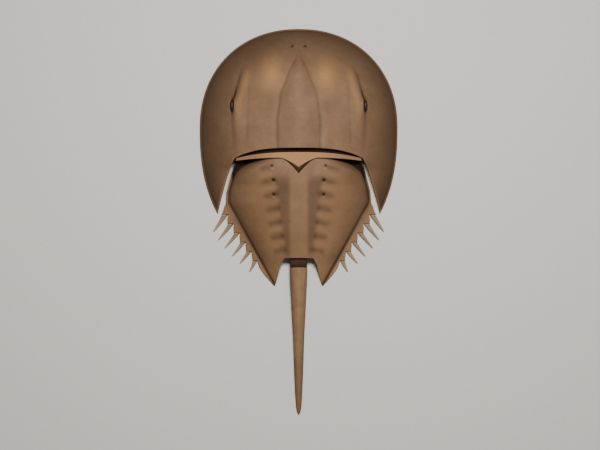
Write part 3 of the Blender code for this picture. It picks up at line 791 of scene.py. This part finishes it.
eyeShape = {
    "place": (67.2, 116.3), "size": (1.75, 5.6, 1.5), "rise": 2.4, "sink": 1.5, "tilt": 0.6,
    "facetRadius": 0.2, "facetSpread": 0.42, "facetsMost": 2.0e7, "seed": 7,
    "middlePlace": (6.4, 176.7), "middleRadius": 0.95, "middleSink": 0.75,
}


def eyeTree(material):  # a long lens covered in small domed facets
    numbers = {"Facet Radius": eyeShape["facetRadius"] * mm, "Facet Spread": eyeShape["facetSpread"] * mm,
               "Seed": eyeShape["seed"]}
    tree, ids, entry = newTree("compoundEye", ("Centre", "Size", "Tilt"), numbers)
    ball = addNode(tree, "GeometryNodeMeshUVSphere", {"Segments": 36, "Rings": 24, "Radius": 1.0})
    shaped = addNode(tree, "GeometryNodeTransform",
                     links={"Geometry": (ball, "Mesh"), "Translation": (entry, "Centre"),
                            "Rotation": (entry, "Tilt"), "Scale": (entry, "Size")})
    smoothed = addNode(tree, "GeometryNodeSetShadeSmooth", links={"Geometry": (shaped, "Geometry")})
    scatter = addNode(tree, "GeometryNodeDistributePointsOnFaces",
                      {"distribute_method": "POISSON", "Density Max": eyeShape["facetsMost"],
                       "Density Factor": 1.0},
                      {"Mesh": (smoothed, "Geometry"), "Distance Min": (entry, "Facet Spread"),
                       "Seed": (entry, "Seed")})
    dome = addNode(tree, "GeometryNodeMeshIcoSphere", {"Subdivisions": 1},
                   {"Radius": (entry, "Facet Radius")})
    domeSmooth = addNode(tree, "GeometryNodeSetShadeSmooth", links={"Geometry": (dome, "Mesh")})
    facets = addNode(tree, "GeometryNodeInstanceOnPoints",
                     links={"Points": (scatter, "Points"), "Instance": (domeSmooth, "Geometry"),
                            "Rotation": (scatter, "Rotation")})
    both = addNode(tree, "GeometryNodeJoinGeometry")
    tree.links.new(smoothed.outputs["Geometry"], both.inputs["Geometry"])
    tree.links.new(facets.outputs["Instances"], both.inputs["Geometry"])
    endTree(tree, both, material)
    return tree, ids


def domeHeight(x, y):
    return float(headBase(np.array([x]), np.array([y]))[0])


def buildEyes(material):
    tree, ids = eyeTree(material)
    x, y = eyeShape["place"]
    z = domeHeight(x, y) + eyeShape["rise"] - eyeShape["sink"]
    eyes = []
    for sign, label in ((-1.0, "Left"), (1.0, "Right")):
        settings = {ids["Centre"]: (sign * x * mm, y * mm, z * mm),
                    ids["Size"]: tuple(c * mm for c in eyeShape["size"]),
                    ids["Tilt"]: (0.0, sign * eyeShape["tilt"], 0.0),
                    ids["Facet Radius"]: eyeShape["facetRadius"] * mm,
                    ids["Facet Spread"]: eyeShape["facetSpread"] * mm, ids["Seed"]: eyeShape["seed"]}
        eyes.append(grownPiece("compoundEye" + label, tree, settings))
    return eyes


# two small dark domes in the ocellus pits; their darkness is partly painted shade of the pits
def buildMiddleEyes():
    bm = bmesh.new()
    x, y = eyeShape["middlePlace"]
    z = domeHeight(x, y) - eyeShape["middleSink"]
    for sign in (-1.0, 1.0):
        radius = eyeShape["middleRadius"] * mm
        made = bmesh.ops.create_uvsphere(bm, u_segments=24, v_segments=16, radius=radius)
        bmesh.ops.translate(bm, verts=made["verts"], vec=(sign * x * mm, y * mm, z * mm))
    return newPiece("middleEyes", bm)


tailShape = {
    "startY": -45.2, "tipY": -195.0, "startZ": 12.0, "tipZ": 1.15, "sides": 64,
    "width": [(-44, 8.9), (-62, 8.4), (-80, 7.5), (-100, 6.5), (-115, 5.7), (-125, 5.4), (-140, 4.9),
              (-158, 4.3),
              (-170, 3.8), (-180, 3.3), (-188, 2.6), (-192, 1.8), (-195, 0.5)],
    "tallShare": 0.62, "leastTall": 0.55, "flatUnder": 0.86, "squareSpan": (-75.0, -48.0),
    "frontScales": (0.15, 0.4, 0.6, 0.8, 0.93, 1.0), "evenRows": (-47.6, -180.0, 110),
    "tipRows": (-182, -184, -186, -188, -190, -191.5, -192.8, -193.8, -194.5, -194.9, -195.0),
    "darkSpan": (95.0, 150.0), "darkTip": 0.32,
}

collarShape = {
    "axis": (-41.2, 12.0), "radius": 6.5, "half": 8.4, "clear": 0.45, "sides": 72,
    "wrinkles": 12, "wrinkle": 0.012,
    "profile": ((-1.0, 0.80), (-0.985, 0.88), (-0.95, 0.95), (-0.9, 0.985), (-0.84, 1.0), (-0.4, 1.0),
                (-0.2, 0.995), (0.0, 0.99), (0.2, 0.995), (0.4, 1.0), (0.84, 1.0), (0.9, 0.985), (0.95, 0.95),
                (0.985, 0.88), (1.0, 0.80)),  # place across, and girth
}


def ringLoft(name, rings, tones):  # a skin over rings of points, each end closed to a point
    bm = bmesh.new()
    loops = [[bm.verts.new([c * mm for c in p]) for p in ring] for ring in rings]
    for first, second in zip(loops, loops[1:]):
        for a, b, c, d in zip(first, first[1:] + first[:1], second[1:] + second[:1], second):
            bm.faces.new((a, b, c, d))
    for ring in (loops[0], loops[-1]):
        middle = bm.verts.new(sum((v.co for v in ring), ring[0].co * 0) / len(ring))
        for a, b in zip(ring, ring[1:] + ring[:1]):
            bm.faces.new((a, b, middle))
    piece = newPiece(name, bm)
    flat = [tone for ring in tones for tone in ring] + [tones[0][0], tones[-1][0]]
    tonePaint(piece.data, np.array(flat))
    piece.data.set_sharp_from_angle(angle=sharpAngle)
    return piece


def tailTone(x, y, width, upper, front):  # width is the half-width of the ring that the point is on
    # painted highlight along the top ridge and on the front face; painted shade underneath, towards the tip
    # and at the sides
    ridge = math.exp(-(x / (0.22 * width)) ** 2) if upper else 0.0
    dark = (0.08 if upper else 0.5) + tailShape["darkTip"] * float(fadeIn(-y, *tailShape["darkSpan"]))
    return dark, 0.35 * ridge + (0.5 if front else 0.0), abs(x / width) ** 5


# boxy at the front and a ridged triangle behind; face is the radius of a hollow that fits round the collar
def tailSection(y, face=None, scale=1.0):
    half = float(along(tailShape["width"], y))
    tall = max(tailShape["leastTall"], tailShape["tallShare"] * half)
    part = max(0.0, (tailShape["startY"] - y) / (tailShape["startY"] - tailShape["tipY"]))
    middle = tailShape["startZ"] + (tailShape["tipZ"] - tailShape["startZ"]) * part ** 0.9
    square = float(fadeIn(y, *tailShape["squareSpan"]))
    ring, tones = [], []
    for k in range(tailShape["sides"]):
        angle = 2 * math.pi * k / tailShape["sides"] + math.pi / 2
        c, s = math.cos(angle), math.sin(angle)
        x = half * math.copysign(abs(c) ** (0.85 - 0.35 * square), c) * scale
        rise = abs(s) ** (1.25 - 0.85 * square) * (1.06 - 0.16 * square)
        z = max(tall * (s if s < 0 else rise), -tailShape["flatUnder"] * tall) * scale
        yHere = y
        if face is not None:
            above = middle + z - collarShape["axis"][1]
            yHere = collarShape["axis"][0] - math.sqrt(max(0.1, face ** 2 - above ** 2))
        ring.append((x, yHere, max(0.0, middle + z)))
        tones.append(tailTone(x, y, half * scale, s > 0, face is not None and scale == 1.0))
    return ring, tones


def buildTail():
    face = collarShape["radius"] + collarShape["clear"]
    sections = [tailSection(tailShape["startY"], face, scale) for scale in tailShape["frontScales"]]
    for y in list(np.linspace(*tailShape["evenRows"])) + list(tailShape["tipRows"]):
        scale = 1.0 if y > -194.7 else (0.75 if y > -194.95 else 0.35)  # the last rings close the tip
        sections.append(tailSection(float(y), None, scale))
    return ringLoft("tailSpine", [ring for ring, tones in sections], [tones for ring, tones in sections])


def buildCollar():
    y0, z0 = collarShape["axis"]
    rings, tones = [], []
    for x, scale in collarShape["profile"]:
        ring = []
        for k in range(collarShape["sides"]):
            angle = 2 * math.pi * k / collarShape["sides"]
            fold = 1.0 + math.cos(collarShape["wrinkles"] * angle)
            wrinkle = 1.0 - collarShape["wrinkle"] * fold * (abs(x) < 0.9)
            out = collarShape["radius"] * scale * wrinkle
            ring.append((x * collarShape["half"], y0 + out * math.cos(angle), z0 + out * math.sin(angle)))
        rings.append(ring)
        # a little painted shade all over, and painted edge shade towards both ends
        tones.append([(0.2, 0.1, abs(x) ** 4)] * collarShape["sides"])
    return ringLoft("tailJointCollar", rings, tones)


def newMaterial(name):
    material = bpy.data.materials.new(name)
    material.use_nodes = True
    return material, material.node_tree, material.node_tree.nodes["Principled BSDF"]


def tint(tree, base, amount, code):  # base colour mixed towards the hex colour; base and amount are outputs
    return addNode(tree, "ShaderNodeMix", {"data_type": "RGBA", 7: hexColour(code)}, {0: amount, 6: base})


def noise(tree, place, scale, detail, roughness=0.5):
    settings = {"Scale": scale, "Detail": detail, "Roughness": roughness}
    return addNode(tree, "ShaderNodeTexNoise", settings, {"Vector": (place, "Object")})


def chitinWithPaintedLight(name, colours, finish):
    # dried, sun-bleached chitin: satin and mottled brown, with painted shade in the creases and towards the
    # edges and painted highlights (partly rubbed wear) where it is paler
    material, tree, shader = newMaterial(name)
    place = addNode(tree, "ShaderNodeTexCoord")
    tone = addNode(tree, "ShaderNodeAttribute", {"attribute_name": "tone"})
    split = addNode(tree, "ShaderNodeSeparateColor", links={"Color": (tone, "Color")})
    cloud = noise(tree, place, 26.0, 5.0, 0.55)  # broad drifts of colour, a few centimetres across
    blotch = noise(tree, place, 140.0, 4.0, 0.6)  # blotches of some millimetres
    speck = noise(tree, place, 900.0, 3.0, 0.6)  # grain under a millimetre
    body = addNode(tree, "ShaderNodeValToRGB", links={"Fac": (cloud, "Fac")})
    low, high = body.color_ramp.elements
    low.position = 0.36
    low.color = hexColour(colours["shade"])
    high.position = 0.66
    high.color = hexColour(colours["body"])
    patch = remap(tree, (blotch, "Fac"), (0.40, 0.72), (0.0, finish["blotch"]))
    warm = tint(tree, (body, "Color"), (patch, "Result"), colours["warm"])
    # blue of the tone attribute: painted shade towards the edges
    rimShade = product(tree, (split, "Blue"), finish["edgeShade"])
    shaded = tint(tree, (warm, 2), (rimShade, "Value"), colours["edge"])
    # green: painted highlight, partly rubbed wear
    rubAndHighlight = product(tree, (split, "Green"), finish["rubAndHighlight"])
    rubbedAndHighlight = tint(tree, (shaded, 2), (rubAndHighlight, "Value"), colours["rubbedAndHighlight"])
    # red: painted shade in creases, recesses and undersides
    paintedShade = product(tree, (split, "Red"), finish["paintedShade"])
    shadePainted = tint(tree, (rubbedAndHighlight, 2), (paintedShade, "Value"), colours["crease"])
    fleck = remap(tree, (speck, "Fac"), (0.55, 0.8), (0.0, 0.35))
    flecked = tint(tree, (shadePainted, 2), (fleck, "Result"), colours["crease"])
    tree.links.new(flecked.outputs[2], shader.inputs["Base Color"])
    gloss = remap(tree, (blotch, "Fac"), (0.3, 0.7), (finish["smooth"], finish["rough"]))
    dull = addNode(tree, "ShaderNodeMath", {"operation": "MAXIMUM"},
                   {0: (gloss, "Result"), 1: (split, "Red")})
    tree.links.new(dull.outputs["Value"], shader.inputs["Roughness"])
    shader.inputs["IOR"].default_value = 1.5
    shader.inputs["Specular IOR Level"].default_value = 0.12
    grain = addNode(tree, "ShaderNodeBump", {"Strength": 0.25, "Distance": 0.3 * mm},
                    {"Height": (speck, "Fac")})
    swell = addNode(tree, "ShaderNodeBump", {"Strength": 0.3, "Distance": 0.8 * mm},
                    {"Height": (blotch, "Fac"), "Normal": (grain, "Normal")})
    tree.links.new(swell.outputs["Normal"], shader.inputs["Normal"])
    return material


shieldChitin = chitinWithPaintedLight(
    "shieldChitinWithPaintedLight",
    {"body": "886a50", "shade": "795c44", "warm": "6c5039",
     "edge": "413020", "rubbedAndHighlight": "b58553", "crease": "120b06"},
    {"blotch": 0.3, "edgeShade": 0.92, "rubAndHighlight": 0.8, "paintedShade": 0.92, "smooth": 0.54, "rough": 0.68})
spineChitin = chitinWithPaintedLight(
    "drySpineChitin",
    {"body": "8f7a60", "shade": "75614a", "warm": "604b36",
     "edge": "55402d", "rubbedAndHighlight": "b09a7c", "crease": "33251a"},
    {"blotch": 0.4, "edgeShade": 0.3, "rubAndHighlight": 0.7, "paintedShade": 0.8, "smooth": 0.45, "rough": 0.65})
tailChitin = chitinWithPaintedLight(
    "tailSpineChitin",
    {"body": "917353", "shade": "7c5e44", "warm": "74563a",
     "edge": "513c29", "rubbedAndHighlight": "a88a66", "crease": "34251a"},
    {"blotch": 0.4, "edgeShade": 0.6, "rubAndHighlight": 0.5, "paintedShade": 0.7, "smooth": 0.42, "rough": 0.6})
# dark brown: partly the joint's own darker colour, partly painted shadow from the shield's overhang
collarChitin = chitinWithPaintedLight(
    "darkShadedJointChitin",
    {"body": "4a3426", "shade": "38261b", "warm": "2c1d14",
     "edge": "241811", "rubbedAndHighlight": "5e4534", "crease": "1a110b"},
    {"blotch": 0.4, "edgeShade": 0.4, "rubAndHighlight": 0.4, "paintedShade": 0.7, "smooth": 0.65, "rough": 0.85})


def glossyLens(name):
    # the clear outer skin of the eyes: hard, dark and shiny, so it glints; its near-black colour is partly
    # painted shade of the slit and pits the eyes sit in
    material, tree, shader = newMaterial(name)
    place = addNode(tree, "ShaderNodeTexCoord")
    cell = noise(tree, place, 1400.0, 2.0)
    hue = addNode(tree, "ShaderNodeValToRGB", links={"Fac": (cell, "Fac")})
    low, high = hue.color_ramp.elements
    low.color = hexColour("0d0906")
    high.color = hexColour("2a1c12")
    tree.links.new(hue.outputs["Color"], shader.inputs["Base Color"])
    wear = remap(tree, (cell, "Fac"), (0.3, 0.7), (0.3, 0.45))
    tree.links.new(wear.outputs["Result"], shader.inputs["Roughness"])
    shader.inputs["IOR"].default_value = 1.52
    shader.inputs["Specular IOR Level"].default_value = 0.3
    return material


eyeLens = glossyLens("glossyEyeLens")
print("materials ready")

headShield = buildHeadShield()
headShield.data.materials.append(shieldChitin)
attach(headShield, "head_shield")
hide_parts("prosoma")
print("head shield", len(headShield.data.polygons))

rearShield = buildRearShield()
rearShield.data.materials.append(shieldChitin)
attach(rearShield, "rear_shield")
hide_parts("opisthosoma")
print("rear shield", len(rearShield.data.polygons))

teeth = buildTeeth()
teeth.data.materials.append(shieldChitin)
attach(teeth, "rear_shield")

for nodeName, spine in buildSpines(spineChitin).items():
    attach(spine, nodeName)
    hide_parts(nodeName)
print("teeth and spines")

for eye in buildEyes(eyeLens):
    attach(eye, "head_shield")
middleEyes = buildMiddleEyes()
middleEyes.data.materials.append(eyeLens)
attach(middleEyes, "head_shield")
print("eyes")

tail = buildTail()
tail.data.materials.append(tailChitin)
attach(tail, "tail")
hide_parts("telson")
collar = buildCollar()
collar.data.materials.append(collarChitin)
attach(collar, "tail_collar")
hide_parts("telson_collar")
print("tail and collar")

stageSetup = {
    "floor": "dad7d1", "floorHalf": 6.0, "floorDrop": 0.2, "air": (1.0, 0.98, 0.95, 1.0), "airStrength": 0.11,
    "cameraHeight": 4.0, "spanAcross": 0.607, "aim": (0.0013, -0.0033), "sensor": 36.0, "farthest": 50.0,
    "keyPlace": (0.07, 0.30, 1.05), "keySize": 0.20, "keyPower": 14.0,
    "fillPlace": (0.30, -0.1, 1.6), "fillSize": 1.0, "fillPower": 1.6,
}


def softLight(name, place, size, power):  # a square lamp turned towards the origin
    light = bpy.data.lights.new(name, "AREA")
    light.shape = "SQUARE"
    light.size = size
    light.energy = power
    item = placed(name, light)
    item.location = place
    item.rotation_euler = (-Vector(place)).to_track_quat("-Z", "Y").to_euler()


def buildFloor():
    half = stageSetup["floorHalf"]
    low = -stageSetup["floorDrop"] * mm
    corners = [(x * half, y * half, low) for x, y in ((-1, -1), (1, -1), (1, 1), (-1, 1))]
    mesh = bpy.data.meshes.new("studioFloor")
    mesh.from_pydata(corners, [], [(0, 1, 2, 3)])
    floor = placed("studioFloor", mesh)
    paint, _, shader = newMaterial("matteFloorPaint")  # flat pale paint with no shine
    shader.inputs["Base Color"].default_value = hexColour(stageSetup["floor"])
    shader.inputs["Roughness"].default_value = 0.9
    mesh.materials.append(paint)


def buildStage():
    buildFloor()
    world = bpy.data.worlds.new("studioAir")
    bpy.context.scene.world = world
    world.use_nodes = True
    air = world.node_tree.nodes["Background"]
    air.inputs["Color"].default_value = stageSetup["air"]
    air.inputs["Strength"].default_value = stageSetup["airStrength"]
    softLight("keyLight", stageSetup["keyPlace"], stageSetup["keySize"], stageSetup["keyPower"])
    softLight("fillLight", stageSetup["fillPlace"], stageSetup["fillSize"], stageSetup["fillPower"])
    camera = bpy.data.cameras.new("mainCamera")
    camera.sensor_width = stageSetup["sensor"]
    camera.lens = stageSetup["sensor"] * stageSetup["cameraHeight"] / stageSetup["spanAcross"]
    camera.clip_end = stageSetup["farthest"]
    item = placed("mainCamera", camera)
    item.location = stageSetup["aim"] + (stageSetup["cameraHeight"],)
    bpy.context.scene.camera = item


buildStage()
print("stage ready")
